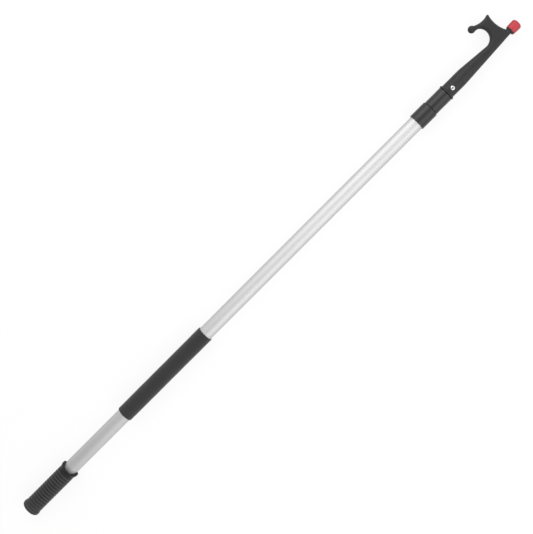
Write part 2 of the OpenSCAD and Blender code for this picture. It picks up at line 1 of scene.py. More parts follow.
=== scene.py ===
"""Looks of a telescoping boat hook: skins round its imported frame, finishes, floor, light and camera."""

import bpy
import numpy as np
from mathutils import Matrix, Vector


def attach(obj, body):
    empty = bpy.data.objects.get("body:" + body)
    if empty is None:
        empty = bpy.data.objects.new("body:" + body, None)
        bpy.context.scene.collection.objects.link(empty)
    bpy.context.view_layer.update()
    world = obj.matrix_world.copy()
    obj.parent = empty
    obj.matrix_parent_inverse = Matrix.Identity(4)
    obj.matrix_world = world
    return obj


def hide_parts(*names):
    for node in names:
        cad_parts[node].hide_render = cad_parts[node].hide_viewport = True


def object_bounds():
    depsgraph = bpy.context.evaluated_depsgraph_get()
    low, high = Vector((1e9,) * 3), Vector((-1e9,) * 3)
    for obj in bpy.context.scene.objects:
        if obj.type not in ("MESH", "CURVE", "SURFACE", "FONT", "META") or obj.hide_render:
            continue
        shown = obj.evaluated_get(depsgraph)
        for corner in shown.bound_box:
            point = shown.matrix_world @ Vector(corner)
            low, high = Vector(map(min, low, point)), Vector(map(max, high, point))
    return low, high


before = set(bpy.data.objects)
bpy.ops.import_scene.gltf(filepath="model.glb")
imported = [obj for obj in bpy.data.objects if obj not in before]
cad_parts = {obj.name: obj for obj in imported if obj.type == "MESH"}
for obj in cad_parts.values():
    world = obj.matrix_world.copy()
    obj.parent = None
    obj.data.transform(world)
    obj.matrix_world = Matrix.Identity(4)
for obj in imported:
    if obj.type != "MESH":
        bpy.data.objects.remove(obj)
cad_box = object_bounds()

MM = 0.001

# Sizes in millimetres along and round the pole: those of the part's source, with the end grip, the hook and
# the rivets refined. A tube is its foot, top, radius and bore, and a collar its foot, top and radius
OUTER_TUBE = (8.0, 955.3, 12.7, 11.7)
MIDDLE_TUBE = (308.15, 989.8, 11.1, 10.1)
INNER_TUBE = (368.05, 1023.1, 9.5, 8.5)
TUBE_EDGE, PUSH_FIT, RUNNING_FIT = 0.2, 0.05, 0.1

GRIP_LEN, GRIP_FLOOR, GRIP_WALL_R, SIDE_SWELL = 105.6, 8.0, 14.8, 0.27
BAND_R, BAND_LEN, BUTT_ROUND, BAND_ROUND = 16.3, 8.4, 4.0, 2.0
RIB_START, RIB_PITCH, RIB_COUNT, RIB_HEIGHT, RIB_ROUND, RIB_FILLET = 10.2, 5.55, 15, 0.55, 1.7, 0.4
LIP_R, LIP_LEN, LIP_ROUND, FLARE_LEN = 16.7, 5.8, 3.5, 7.9
FLARE_X = GRIP_LEN - LIP_LEN - FLARE_LEN
MOUTH_DIP, MOUTH_EDGE, MOUTH_BORE_EDGE = 6.3, 0.7, 0.3
# Lengths of the painted light that pales the grip towards the butt, of the painted shade on the tube past the
# grip's mouth, and of the blend into the darker lip
PAINTED_BUTT_LIGHT_LEN, MOUTH_SHADE_LEN, LIP_BLEND = 32.0, 9.0, 2.0

FOAM_START, FOAM_END, FOAM_R, FOAM_ROUND, FOAM_EDGE = 237.3, 434.0, 14.7, 0.9, 0.2
# The foam is firm next to the tube, and its outside is sunk a little and gives in waves: each is its height,
# its length / 2 pi and how often it goes round the pole
FOAM_SUNK, FOAM_FIRM = 0.12, 0.4
FOAM_WAVES = ((0.05, 21.0, 0), (0.04, 7.3, 3), (0.03, 4.1, -5))

OUTER_COLLAR = (926.8, 958.3, 14.7)
MIDDLE_COLLAR = (958.6, 992.8, 13.35)
COLLAR_LIP, COLLAR_ROUND, COLLAR_FOOT_ROUND = 3.0, 1.2, 0.6
COLLAR_BORE_EDGE, COLLAR_LIP_EDGE, COLLAR_STEP_EDGE = 0.25, 0.4, 0.1

HEAD_X = 993.1
SOCKET_R, SOCKET_TOP, SOCKET_BORE, SOCKET_DEPTH, SOCKET_EDGE = 12.4, 32.0, 9.55, 30.0, 0.3
FLANGE_R, FLANGE_LEN, FLANGE_FILLET, FLANGE_FOOT_ROUND, FLANGE_TOP_ROUND = 14.3, 2.6, 1.6, 0.5, 0.7
THROAT = np.array([97.8, 23.6])
THROAT_R, THROAT_START = 16.4, -92.0
BALL_REACH, BALL_ANGLE, BALL_R = 19.9, 84.1, 6.2
ARM_FILLET, BALL_FILLET = 10.0, 1.6
SPIKE = THROAT + np.array([38.2, 20.7])
SPIKE_ROOT, SPIKE_SHARE, SPIKE_POWER, SPIKE_EDGE_SHARE, SPIKE_BLUNTING = 12.0, 0.45, 1.8, 0.5, 4.5
BROW_R, FRONT_R = 32.5, 49.0
BROW_ON_BALL = np.array([0.79, 0.46])
CROWN_T, CROWN_EDGE, ARM_T = 13.0, 6.0, 8.4
SHANK_LOWER, SHANK_UPPER, SHANK_BEND, SHANK_BEND_ROUND, SHANK_GAP = 5.7, 4.2, 41.0, 0.5, 1.6
NECK_X, STEM_FOOT, STEM_TOP, STEM_WIDE, STEM_HIGH, STEM_SHIFT = 138.2, -12.0, 2.4, 4.8, 6.3, 0.95
CUP_START, CUP_END, CUP_R, CUP_ROUND, CUP_EDGE = 1.0, 3.7, 7.9, 2.4, 0.3
TIP_DROP, PEG_R, PEG_LEN, PEG_STEP_EDGE, PEG_ROUND = 1.65, 5.2, 11.0, 0.1, 1.0
CAP_FOOT_R, CAP_R, CAP_LEN, CAP_TAPER_LEN = 8.35, 8.8, 16.8, 12.0
CAP_EDGE, CAP_FOOT_ROUND, CAP_SIDE_ROUND, CAP_ROUND = 0.3, 0.8, 6.0, 4.0

RIVET_X, RIVET_CLOCK, RIVET_SEAT, RIVET_SEAT_R = 12.0, 8.0, 11.552, 4.1
SEAT_RIM, SEAT_RIM_INSIDE, SEAT_MARGIN, SEAT_REACH = 0.4, 0.1, 1.0, 6.0
RIVET_R, RIVET_HEAD_R, RIVET_HEAD_LEN, RIVET_BORE = 2.0, 3.6, 1.2, 1.4
RIVET_RIM_LEN, RIVET_TOP_R, RIVET_DOME_ROUND = 0.4, 2.2, 1.2
RIVET_FOOT, RIVET_CLINCH, RIVET_BULB_R = 5.14, 7.94, 2.9
MANDREL_R, MANDREL_HEAD_R, MANDREL_FOOT, MANDREL_TOP = 1.35, 1.7, 3.74, 12.1
MANDREL_BREAK_R, MANDREL_BREAK_LEN = 0.6, 0.2

# How finely the skins are drawn: points round each, millimetres between rows, and numbers of rows
POLE_SIDES, HEAD_SIDES, TIP_SIDES, RIVET_SIDES, MANDREL_SIDES = 128, 176, 96, 64, 48
WALL_STEP, FOAM_STEP, SOCKET_STEP = 0.2, 1.0, 0.3
LIP_ROWS, EDGE_ROWS, FACE_ROWS, BUTT_ROWS, PROFILE_STEPS, SEARCH_STEPS = 28, 9, 7, 13, 60, 600
SHANK_ROWS, HEEL_ROWS, NECK_ROWS, FRONT_ROWS, POINT_ROWS, BROW_ROWS, BALL_ROWS = 56, 40, 14, 44, 13, 48, 30
STEM_ROWS = 12
CREASE = 32.0
TINY = 1e-6
# Power of a section's edge that is a plain quarter ellipse
ELLIPSE = 2.0


def rounded(corners, steps=8):
    """Closed profile through corners (x, r, rounding): each corner gives way to the arc that touches both
    of its sides, which starts and ends at rounding / tan(half the corner's angle) from it."""
    corners = np.asarray(corners, float)
    point, radius = corners[:, :2], corners[:, 2:]
    back = np.roll(point, 1, axis=0) - point
    ahead = np.roll(point, -1, axis=0) - point
    back /= np.linalg.norm(back, axis=1, keepdims=True)
    ahead /= np.linalg.norm(ahead, axis=1, keepdims=True)
    half = np.arccos(np.clip(np.sum(back * ahead, axis=1, keepdims=True), -1, 1)) / 2
    inward = (back + ahead) / np.linalg.norm(back + ahead, axis=1, keepdims=True)
    centre = point + inward * radius / np.sin(half)
    first = point + back * radius / np.tan(half) - centre
    last = point + ahead * radius / np.tan(half) - centre
    sweep = (np.pi - 2 * half)[:, None, :]
    t = np.linspace(0, 1, steps + 1)[None, :, None]
    arc = (np.sin((1 - t) * sweep) * first[:, None] + np.sin(t * sweep) * last[:, None]) / np.sin(sweep)
    profile = (centre[:, None] + arc).reshape(-1, 2)
    moved = np.linalg.norm(profile - np.roll(profile, 1, axis=0), axis=1) > TINY
    return profile[moved]


def circles(x, radius, count, drop=0.0):
    """Rows of points round the pole: place x and radius r at angle a give (x, r cos a - drop, r sin a)."""
    a = np.linspace(0, 2 * np.pi, count, endpoint=False)
    x, radius = np.broadcast_to(x, (len(x), count)), np.broadcast_to(radius, (len(x), count))
    return np.stack([x, radius * np.cos(a) - drop, radius * np.sin(a)], axis=-1)


def turned(profile, count=POLE_SIDES, drop=0.0):
    """Rows of a turned skin: each profile point (x, r) is carried round the pole, and points on the axis
    itself are left to the end caps."""
    profile = profile[profile[:, 1] > TINY]
    return circles(profile[:, :1], profile[:, 1:], count, drop)


def smooth_max(a, b, width):
    """The larger of two heights, with a fillet where they are less than width apart, which adds (width - |a
    - b|) squared / 4 width."""
    return np.maximum(a, b) + np.maximum(0, width - np.abs(a - b)) ** 2 / (4 * width)


def ease(t):
    """Smooth step from 0 to 1: 3 t squared - 2 t cubed, with t held between 0 and 1."""
    t = np.clip(t, 0, 1)
    return t * t * (3 - 2 * t)


def grid_faces(rows, ring, start):
    """Points and faces of one closed skin. Each row is a closed loop and joins the next by quads. The last
    row joins the first where the skin is a ring, and otherwise both end rows close on a point in their
    middle. The order of the corners is turned round where the skin's volume, the sum of p . (q x s) / 6,
    comes out negative."""
    n, m, _ = rows.shape
    ids = np.arange(n * m).reshape(n, m)
    low, high = (ids, np.roll(ids, -1, axis=0)) if ring else (ids[:-1], ids[1:])
    quads = np.stack([low, np.roll(low, -1, axis=1), np.roll(high, -1, axis=1), high], axis=-1).reshape(-1, 4)
    points = rows.reshape(-1, 3)
    tris = np.zeros((0, 3), int)
    if not ring:
        points = np.concatenate([points, rows[0].mean(axis=0)[None], rows[-1].mean(axis=0)[None]])
        foot, top = np.full(m, n * m), np.full(m, n * m + 1)
        tris = np.concatenate(
            [
                np.stack([np.roll(ids[0], -1), ids[0], foot], axis=-1),
                np.stack([ids[-1], np.roll(ids[-1], -1), top], axis=-1),
            ]
        )
    halves = np.concatenate([quads[:, [0, 1, 2]], quads[:, [0, 2, 3]], tris])
    p, q, s = (points[halves[:, k]] for k in range(3))
    if np.sum(p * np.cross(q, s)) < 0:
        quads, tris = quads[:, ::-1], tris[:, ::-1]
    return points, (quads + start).tolist() + (tris + start).tolist()


def piece(name, grids, node, body, material):
    """Object for one new piece from its grids of rows in millimetres, each (rows, True for a ring). It stands
    for a CAD node, rides on that node's body and takes the finish it is given."""
    points, faces = [], []
    for rows, ring in grids:
        more, corners = grid_faces(rows, ring, sum(len(p) for p in points))
        points.append(more)
        faces += corners
    mesh = bpy.data.meshes.new(name)
    mesh.from_pydata(np.concatenate(points) * MM, [], faces)
    mesh.shade_smooth()
    mesh.set_sharp_from_angle(angle=np.radians(CREASE))
    mesh.materials.append(material)
    obj = bpy.data.objects.new(name, mesh)
    bpy.context.scene.collection.objects.link(obj)
    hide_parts(node)
    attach(obj, body)
    return obj


def linear(code):
    """Linear colour, with alpha, of an sRGB hex code."""
    srgb = np.array([int(code[k : k + 2], 16) for k in (1, 3, 5)]) / 255
    rgb = np.where(srgb <= 0.04045, srgb / 12.92, ((srgb + 0.055) / 1.055) ** 2.4)
    return (*rgb.tolist(), 1.0)


def add(tree, kind, inputs=None, output=0, **settings):
    """Adds a node with its settings and gives one of its outputs. An input is a value for its socket, or
    another node's output to link to it."""
    node = tree.nodes.new(kind)
    for key, value in settings.items():
        setattr(node, key, value)
    for key, value in (inputs or {}).items():
        if isinstance(value, bpy.types.NodeSocket):
            tree.links.new(value, node.inputs[key])
        else:
            node.inputs[key].default_value = value
    return node.outputs[output] if len(node.outputs) else None


def bare(name):
    """A new material with nothing in it yet, its node tree, and the piece's own coordinates in metres."""
    material = bpy.data.materials.new(name)
    material.use_nodes = True
    material.node_tree.nodes.clear()
    return material, material.node_tree, add(material.node_tree, "ShaderNodeTexCoord", output="Object")


def per_mm(x, y=None, z=None):
    """Scale of a pattern whose grains are this many millimetres long along each axis."""
    return tuple(1 / (size * MM) for size in (x, y or x, z or x))


# Nearly all of a noise lies between these levels
NOISE_LOW, NOISE_HIGH = 0.3, 0.7


def anodised_aluminium():
    """Drawn tube, etched satin and clear anodised: a soft broad gloss with faint die lines along the tube,
    and the darker edges that the clear layer gives it."""
    material, tree, place = bare("satin_anodised_aluminium")
    # Die lines are finer than this on the real tube, and are drawn 1.2 mm wide so that they show
    drawn = add(tree, "ShaderNodeMapping", {"Vector": place, "Scale": per_mm(144.0, 1.2, 1.2)})
    lines = add(tree, "ShaderNodeTexNoise", {"Vector": drawn, "Scale": 1.0, "Detail": 3.0})
    clouded = add(tree, "ShaderNodeMapping", {"Vector": place, "Scale": per_mm(120.0, 40.0, 40.0)})
    cloud = add(tree, "ShaderNodeTexNoise", {"Vector": clouded, "Scale": 1.0, "Detail": 2.0})
    colour = add(
        tree, "ShaderNodeMix", {0: cloud, 6: linear("#D0D0D0"), 7: linear("#D6D6D6")}, 2, data_type="RGBA"
    )
    # Painted shade: the tube is darkened just past the grip's mouth, for the shadow and the dark reflection
    # of the grip's lip on it
    along = add(tree, "ShaderNodeSeparateXYZ", {"Vector": place}, "X")
    mouth = GRIP_LEN - MOUTH_DIP
    past_painted_mouth_shade = add(
        tree,
        "ShaderNodeMapRange",
        {"Value": along, "From Min": mouth * MM, "From Max": (mouth + MOUTH_SHADE_LEN) * MM},
    )
    colour = add(tree, "ShaderNodeMix", {0: past_painted_mouth_shade, 6: linear("#8C8C8C"), 7: colour}, 2, data_type="RGBA")
    satin = add(
        tree,
        "ShaderNodeMapRange",
        {"Value": lines, "From Min": NOISE_LOW, "From Max": NOISE_HIGH, "To Min": 0.55, "To Max": 0.61},
    )
    relief = add(tree, "ShaderNodeBump", {"Height": lines, "Distance": 0.02 * MM, "Strength": 0.15})
    shader = add(
        tree,
        "ShaderNodeBsdfPrincipled",
        {
            "Base Color": colour,
            "Metallic": 1.0,
            "Roughness": satin,
            "Specular Tint": linear("#A0A0A0"),
            "Normal": relief,
        },
    )
    add(tree, "ShaderNodeOutputMaterial", {"Surface": shader})
    return material


def moulded_nylon(name, dark, light, gloss_range, shine):
    """Glass-filled nylon, black: a charcoal with the fine spark-eroded grain of its mould."""
    material, tree, place = bare(name)
    # The grain is drawn 0.7 mm across, about twice the real one, so that it shows
    grained = add(tree, "ShaderNodeMapping", {"Vector": place, "Scale": per_mm(0.7)})
    grain = add(tree, "ShaderNodeTexNoise", {"Vector": grained, "Scale": 1.0, "Detail": 3.0})
    flowed = add(tree, "ShaderNodeMapping", {"Vector": place, "Scale": per_mm(14.0)})
    flow = add(tree, "ShaderNodeTexNoise", {"Vector": flowed, "Scale": 1.0, "Detail": 2.0})
    colour = add(
        tree, "ShaderNodeMix", {0: flow, 6: linear(dark), 7: linear(light)}, 2, data_type="RGBA"
    )
    low, high = gloss_range
    gloss = add(
        tree,
        "ShaderNodeMapRange",
        {"Value": flow, "From Min": NOISE_LOW, "From Max": NOISE_HIGH, "To Min": low, "To Max": high},
    )
    relief = add(tree, "ShaderNodeBump", {"Height": grain, "Distance": 0.05 * MM, "Strength": 0.5})
    shader = add(
        tree,
        "ShaderNodeBsdfPrincipled",
        {"Base Color": colour, "Roughness": gloss, "Specular IOR Level": shine, "Normal": relief},
    )
    add(tree, "ShaderNodeOutputMaterial", {"Surface": shader})
    return material


def grip_rubber():
    """Thermoplastic rubber, black: dull, with a dry grey bloom in patches on the ribs, painted shade in the
    grooves, a darker lip, and painted light that makes the butt paler."""
    material, tree, place = bare("black_thermoplastic_rubber")
    grained = add(tree, "ShaderNodeMapping", {"Vector": place, "Scale": per_mm(0.8)})
    grain = add(tree, "ShaderNodeTexNoise", {"Vector": grained, "Scale": 1.0, "Detail": 3.0})
    bloomed = add(tree, "ShaderNodeMapping", {"Vector": place, "Scale": per_mm(9.0)})
    bloom = add(tree, "ShaderNodeTexNoise", {"Vector": bloomed, "Scale": 1.0, "Detail": 3.0})
    rubbed = add(
        tree, "ShaderNodeMix", {0: bloom, 6: linear("#424242"), 7: linear("#565656")}, 2, data_type="RGBA"
    )
    # Painted shade: by the radius off the pole's middle, the grooves between the ribs are darkened to near
    # black for the shade that falls in them
    across = add(tree, "ShaderNodeMapping", {"Vector": place, "Scale": (0.0, 1.0, 1.0)})
    depth = add(tree, "ShaderNodeVectorMath", {0: across}, "Value", operation="LENGTH")
    groove_r, rib_r = GRIP_WALL_R - RIB_HEIGHT / 2, GRIP_WALL_R + RIB_HEIGHT
    out_of_painted_groove_shade = add(
        tree, "ShaderNodeMapRange", {"Value": depth, "From Min": groove_r * MM, "From Max": rib_r * MM}
    )
    ribbed = add(tree, "ShaderNodeMix", {0: out_of_painted_groove_shade, 6: linear("#080808"), 7: rubbed}, 2, data_type="RGBA")
    along = add(tree, "ShaderNodeSeparateXYZ", {"Vector": place}, "X")
    # Painted light: towards the butt the grip is made paler, for the light that its rounded end catches
    scuffed = add(
        tree,
        "ShaderNodeMapRange",
        {"Value": along, "From Min": PAINTED_BUTT_LIGHT_LEN * MM, "From Max": BAND_LEN * MM, "To Max": 0.75},
    )
    colour = add(tree, "ShaderNodeMix", {0: scuffed, 6: ribbed, 7: linear("#464646")}, 2, data_type="RGBA")
    # The grip is darker over the lip
    lip = add(
        tree,
        "ShaderNodeMapRange",
        {"Value": along, "From Min": (FLARE_X - LIP_BLEND) * MM, "From Max": (FLARE_X + LIP_BLEND) * MM},
    )
    colour = add(tree, "ShaderNodeMix", {0: lip, 6: colour, 7: linear("#2A2A2A")}, 2, data_type="RGBA")
    dullness = add(
        tree,
        "ShaderNodeMapRange",
        {"Value": bloom, "From Min": NOISE_LOW, "From Max": NOISE_HIGH, "To Min": 0.38, "To Max": 0.5},
    )
    relief = add(tree, "ShaderNodeBump", {"Height": grain, "Distance": 0.06 * MM, "Strength": 0.6})
    shader = add(
        tree,
        "ShaderNodeBsdfPrincipled",
        {"Base Color": colour, "Roughness": dullness, "Specular IOR Level": 0.25, "Normal": relief},
    )
    add(tree, "ShaderNodeOutputMaterial", {"Surface": shader})
    return material


def closed_cell_foam():
    """Black foam sleeve with a cut, closed-cell surface: no gloss, open pores about a millimetre across."""
    material, tree, place = bare("black_closed_cell_foam")
    pored = add(tree, "ShaderNodeMapping", {"Vector": place, "Scale": per_mm(1.25)})
    pores = add(tree, "ShaderNodeTexVoronoi", {"Vector": pored, "Scale": 1.0}, "Distance")
    blotched = add(tree, "ShaderNodeMapping", {"Vector": place, "Scale": per_mm(12.0)})
    blotch = add(tree, "ShaderNodeTexNoise", {"Vector": blotched, "Scale": 1.0, "Detail": 3.0})
    colour = add(
        tree, "ShaderNodeMix", {0: blotch, 6: linear("#282828"), 7: linear("#323232")}, 2, data_type="RGBA"
    )
    dullness = add(
        tree,
        "ShaderNodeMapRange",
        {"Value": blotch, "From Min": NOISE_LOW, "From Max": NOISE_HIGH, "To Min": 0.86, "To Max": 0.95},
    )
    relief = add(tree, "ShaderNodeBump", {"Height": pores, "Distance": 0.25 * MM, "Strength": 0.6})
    shader = add(
        tree,
        "ShaderNodeBsdfPrincipled",
        {
            "Base Color": colour,
            "Roughness": dullness,
            "Specular IOR Level": 0.25,
            "Sheen Weight": 0.7,
            "Sheen Roughness": 0.55,
            "Normal": relief,
        },
    )
    add(tree, "ShaderNodeOutputMaterial", {"Surface": shader})
    return material


def red_vinyl():
    """Soft dipped vinyl, red: a slightly waxy gloss with a fine pebble."""
    material, tree, place = bare("red_soft_vinyl")
    pebbled = add(tree, "ShaderNodeMapping", {"Vector": place, "Scale": per_mm(1.1)})
    pebble = add(tree, "ShaderNodeTexNoise", {"Vector": pebbled, "Scale": 1.0, "Detail": 3.0})
    clouded = add(tree, "ShaderNodeMapping", {"Vector": place, "Scale": per_mm(6.0)})
    cloud = add(tree, "ShaderNodeTexNoise", {"Vector": clouded, "Scale": 1.0, "Detail": 2.0})
    colour = add(
        tree, "ShaderNodeMix", {0: cloud, 6: linear("#CC3842"), 7: linear("#DC4852")}, 2, data_type="RGBA"
    )
    gloss = add(
        tree,
        "ShaderNodeMapRange",
        {"Value": cloud, "From Min": NOISE_LOW, "From Max": NOISE_HIGH, "To Min": 0.42, "To Max": 0.52},
    )
    relief = add(tree, "ShaderNodeBump", {"Height": pebble, "Distance": 0.08 * MM, "Strength": 0.6})
    shader = add(
        tree,
        "ShaderNodeBsdfPrincipled",
        {
            "Base Color": colour,
            "Roughness": gloss,
            "Subsurface Weight": 0.08,
            "Subsurface Radius": (0.002, 0.0006, 0.0005),
            "Subsurface Scale": 1.0,
            "Normal": relief,
        },
    )
    add(tree, "ShaderNodeOutputMaterial", {"Surface": shader})
    return material


def rivet_aluminium():
    """Bare rivet aluminium, tumbled bright: small soft scratches in all directions."""
    material, tree, place = bare("bright_rivet_aluminium")
    scuffed = add(tree, "ShaderNodeMapping", {"Vector": place, "Scale": per_mm(0.5)})
    scuffs = add(tree, "ShaderNodeTexNoise", {"Vector": scuffed, "Scale": 1.0, "Detail": 4.0})
    colour = add(
        tree, "ShaderNodeMix", {0: scuffs, 6: linear("#DCDDDE"), 7: linear("#EDEDED")}, 2, data_type="RGBA"
    )
    gloss = add(
        tree,
        "ShaderNodeMapRange",
        {"Value": scuffs, "From Min": NOISE_LOW, "From Max": NOISE_HIGH, "To Min": 0.24, "To Max": 0.36},
    )
    relief = add(tree, "ShaderNodeBump", {"Height": scuffs, "Distance": 0.01 * MM, "Strength": 0.3})
    shader = add(
        tree,
        "ShaderNodeBsdfPrincipled",
        {"Base Color": colour, "Metallic": 1.0, "Roughness": gloss, "Normal": relief},
    )
    add(tree, "ShaderNodeOutputMaterial", {"Surface": shader})
    return material


def plated_steel():
    """Dull zinc-plated steel with a fine crystalline mottling, in a near-black bluish grey that is darker
    than such steel: on the mandrels' ends it is painted shade, for the shade down in the rivets' bores.
    """
    material, tree, place = bare("zinc_plated_steel_painted_dark")
    mottled = add(tree, "ShaderNodeMapping", {"Vector": place, "Scale": per_mm(0.6)})
    crystals = add(tree, "ShaderNodeTexNoise", {"Vector": mottled, "Scale": 1.0, "Detail": 3.0})
    colour = add(
        tree, "ShaderNodeMix", {0: crystals, 6: linear("#303234"), 7: linear("#46484A")}, 2, data_type="RGBA"
    )
    gloss = add(
        tree,
        "ShaderNodeMapRange",
        {"Value": crystals, "From Min": NOISE_LOW, "From Max": NOISE_HIGH, "To Min": 0.35, "To Max": 0.5},
    )
    relief = add(tree, "ShaderNodeBump", {"Height": crystals, "Distance": 0.01 * MM, "Strength": 0.3})
    shader = add(
        tree,
        "ShaderNodeBsdfPrincipled",
        {"Base Color": colour, "Metallic": 1.0, "Roughness": gloss, "Normal": relief},
    )
    add(tree, "ShaderNodeOutputMaterial", {"Surface": shader})
    return material


def natural_nylon():
    """Unfilled nylon in its own milky colour, with a satin moulded face."""
    material, tree, place = bare("natural_nylon")
    clouded = add(tree, "ShaderNodeMapping", {"Vector": place, "Scale": per_mm(5.0)})
    cloud = add(tree, "ShaderNodeTexNoise", {"Vector": clouded, "Scale": 1.0, "Detail": 2.0})
    grained = add(tree, "ShaderNodeMapping", {"Vector": place, "Scale": per_mm(0.6)})
    grain = add(tree, "ShaderNodeTexNoise", {"Vector": grained, "Scale": 1.0, "Detail": 3.0})
    colour = add(
        tree, "ShaderNodeMix", {0: cloud, 6: linear("#E2DFD6"), 7: linear("#EBE9E2")}, 2, data_type="RGBA"
    )
    gloss = add(
        tree,
        "ShaderNodeMapRange",
        {"Value": cloud, "From Min": NOISE_LOW, "From Max": NOISE_HIGH, "To Min": 0.38, "To Max": 0.48},
    )
    relief = add(tree, "ShaderNodeBump", {"Height": grain, "Distance": 0.02 * MM, "Strength": 0.4})
    shader = add(
        tree,
        "ShaderNodeBsdfPrincipled",
        {
            "Base Color": colour,
            "Roughness": gloss,
            "Subsurface Weight": 0.1,
            "Subsurface Radius": (0.002, 0.002, 0.0015),
            "Subsurface Scale": 1.0,
            "Normal": relief,
        },
    )
    add(tree, "ShaderNodeOutputMaterial", {"Surface": shader})
    return material


# The collars come from a smoother mould than the head
COLLAR_NYLON = moulded_nylon("black_nylon_smooth_mould", "#1B1B1B", "#222222", (0.28, 0.36), 0.5)
HEAD_NYLON = moulded_nylon("black_nylon_grained_mould", "#343434", "#3A3A3A", (0.36, 0.44), 0.24)
ALUMINIUM, RUBBER, FOAM = anodised_aluminium(), grip_rubber(), closed_cell_foam()
VINYL, RIVET, STEEL, MILKY = red_vinyl(), rivet_aluminium(), plated_steel(), natural_nylon()


def tube_rows(foot, top, radius, bore):
    """Drawn tube: a rectangular wall section with its edges broken, turned round the pole."""
    corners = [(foot, bore), (foot, radius), (top, radius), (top, bore)]
    return turned(rounded([(*corner, TUBE_EDGE) for corner in corners], 3))


def collar_rows(foot, top, radius, bore, lip_bore):
    """Moulded collar: a sleeve over its tube with a narrower lip at the top, turned round the pole."""
    lip = top - COLLAR_LIP
    corners = [
        (foot, bore, COLLAR_BORE_EDGE),
        (foot, radius, COLLAR_FOOT_ROUND),
        (top, radius, COLLAR_ROUND),
        (top, lip_bore, COLLAR_LIP_EDGE),
        (lip, lip_bore, COLLAR_STEP_EDGE),
        (lip, bore, COLLAR_STEP_EDGE),
    ]
    return turned(rounded(corners))


def lip_profile():
    """Outside of the grip's lip as places and radii by length along it: an arc that leaves the wall
    smoothly and rises to the lip's radius over the flare, a level rim, and a quarter circle over to the
    mouth."""
    rise = LIP_R - GRIP_WALL_R
    flare_round = (FLARE_LEN**2 + rise**2) / (2 * rise)
    bend = np.linspace(0, np.arcsin(FLARE_LEN / flare_round), PROFILE_STEPS)
    flare = [FLARE_X, GRIP_WALL_R] + flare_round * np.stack([np.sin(bend), 1 - np.cos(bend)], axis=-1)
    over = np.linspace(0, np.pi / 2, PROFILE_STEPS)
    edge = [GRIP_LEN, LIP_R] + LIP_ROUND * np.stack([np.sin(over) - 1, np.cos(over) - 1], axis=-1)
    profile = np.concatenate([flare, edge])
    length = np.concatenate([[0], np.cumsum(np.linalg.norm(np.diff(profile, axis=0), axis=1))])
    return length, profile[:, 0], profile[:, 1]


def grip_rows(count=POLE_SIDES):
    """End grip: from the floor of its bore out over the mouth, back over the lip and along the ribbed wall
    and over the rounded butt. The wall's height at x is the smooth largest of the plain wall, the band and
    each rib, which is a circle's back: rib centre + the root of rounding squared - distance squared. At
    angle a the plain wall is wider by the swell times cos a squared. The mouth ends at the length - dip (2
    u squared - u to the fourth), where u is the height off the pole's middle / the tube's radius, and at
    most 1. The lip's profile is followed to where it meets that, and the corner there gives way to a
    parabola."""
    a = np.linspace(0, 2 * np.pi, count, endpoint=False)
    bore = OUTER_TUBE[2] + PUSH_FIT

    def mouth(r):
        u = np.minimum(1, np.abs(r * np.sin(a)) / OUTER_TUBE[2])
        return GRIP_LEN - MOUTH_DIP * (2 * u**2 - u**4)

    length, lip_x, lip_r = lip_profile()
    fine = np.linspace(0, length[-1], SEARCH_STEPS)[:, None]
    past = np.interp(fine, length, lip_x) - mouth(np.interp(fine, length, lip_r))
    after = np.argmax(past >= -1e-9, axis=0)
    before, beyond = past[after - 1, np.arange(count)], past[after, np.arange(count)]
    end = fine[after - 1, 0] + (fine[1, 0] - fine[0, 0]) * before / (before - beyond)

    swell = SIDE_SWELL * np.cos(a) ** 2
    share = np.linspace(0, 1, LIP_ROWS)[:, None]
    on_lip = (end - MOUTH_EDGE) * share
    # The swell of the sides runs out over the first half of the lip
    on_flare = swell * np.maximum(0, 1 - 2 * share) ** 2
    lip = np.interp(on_lip, length, lip_x), np.interp(on_lip, length, lip_r) + on_flare
    corner = np.interp(end, length, lip_x), np.interp(end, length, lip_r)
    face_r = corner[1] - MOUTH_EDGE
    face_r = face_r + (bore + MOUTH_BORE_EDGE - face_r) * np.linspace(0, 1, FACE_ROWS)[:, None]
    face = mouth(face_r), face_r
    t = np.linspace(0, 1, EDGE_ROWS)[1:-1, None]
    bend = [(1 - t) ** 2 * lip[k][-1] + 2 * t * (1 - t) * corner[k] + t**2 * face[k][0] for k in (0, 1)]

    x = np.arange(FLARE_X, BUTT_ROUND, -WALL_STEP)[:, None]
    along_band = np.clip(x - (BAND_LEN - BAND_ROUND), 0, BAND_ROUND)
    band = BAND_R - BAND_ROUND + np.sqrt(BAND_ROUND**2 - along_band**2)
    height = smooth_max(GRIP_WALL_R + swell, np.where(x < BAND_LEN, band, 0), RIB_FILLET)
    rib = RIB_START + RIB_PITCH * np.clip(np.round((x - RIB_START) / RIB_PITCH), 0, RIB_COUNT - 1)
    back = np.sqrt(np.maximum(RIB_ROUND**2 - (x - rib) ** 2, 0)) - RIB_ROUND
    height = smooth_max(height, GRIP_WALL_R + RIB_HEIGHT + back, RIB_FILLET)
    over = np.linspace(0, np.pi / 2, BUTT_ROWS)[:, None]
    wall_x = np.concatenate([x[1:], BUTT_ROUND - BUTT_ROUND * np.sin(over)])
    butt_r = np.broadcast_to(BAND_R - BUTT_ROUND + BUTT_ROUND * np.cos(over), (len(over), count))
    wall_r = np.concatenate([height[1:], butt_r])

    inside_x = np.stack([np.full(count, GRIP_FLOOR), mouth(bore) - MOUTH_BORE_EDGE])
    inside_r = np.full((2, count), bore)
    return np.concatenate(
        [
            circles(inside_x, inside_r, count),
            circles(face[0][::-1], face[1][::-1], count),
            circles(bend[0][::-1], bend[1][::-1], count),
            circles(lip[0][::-1], lip[1][::-1], count),
            circles(wall_x, wall_r, count),
        ]
    )


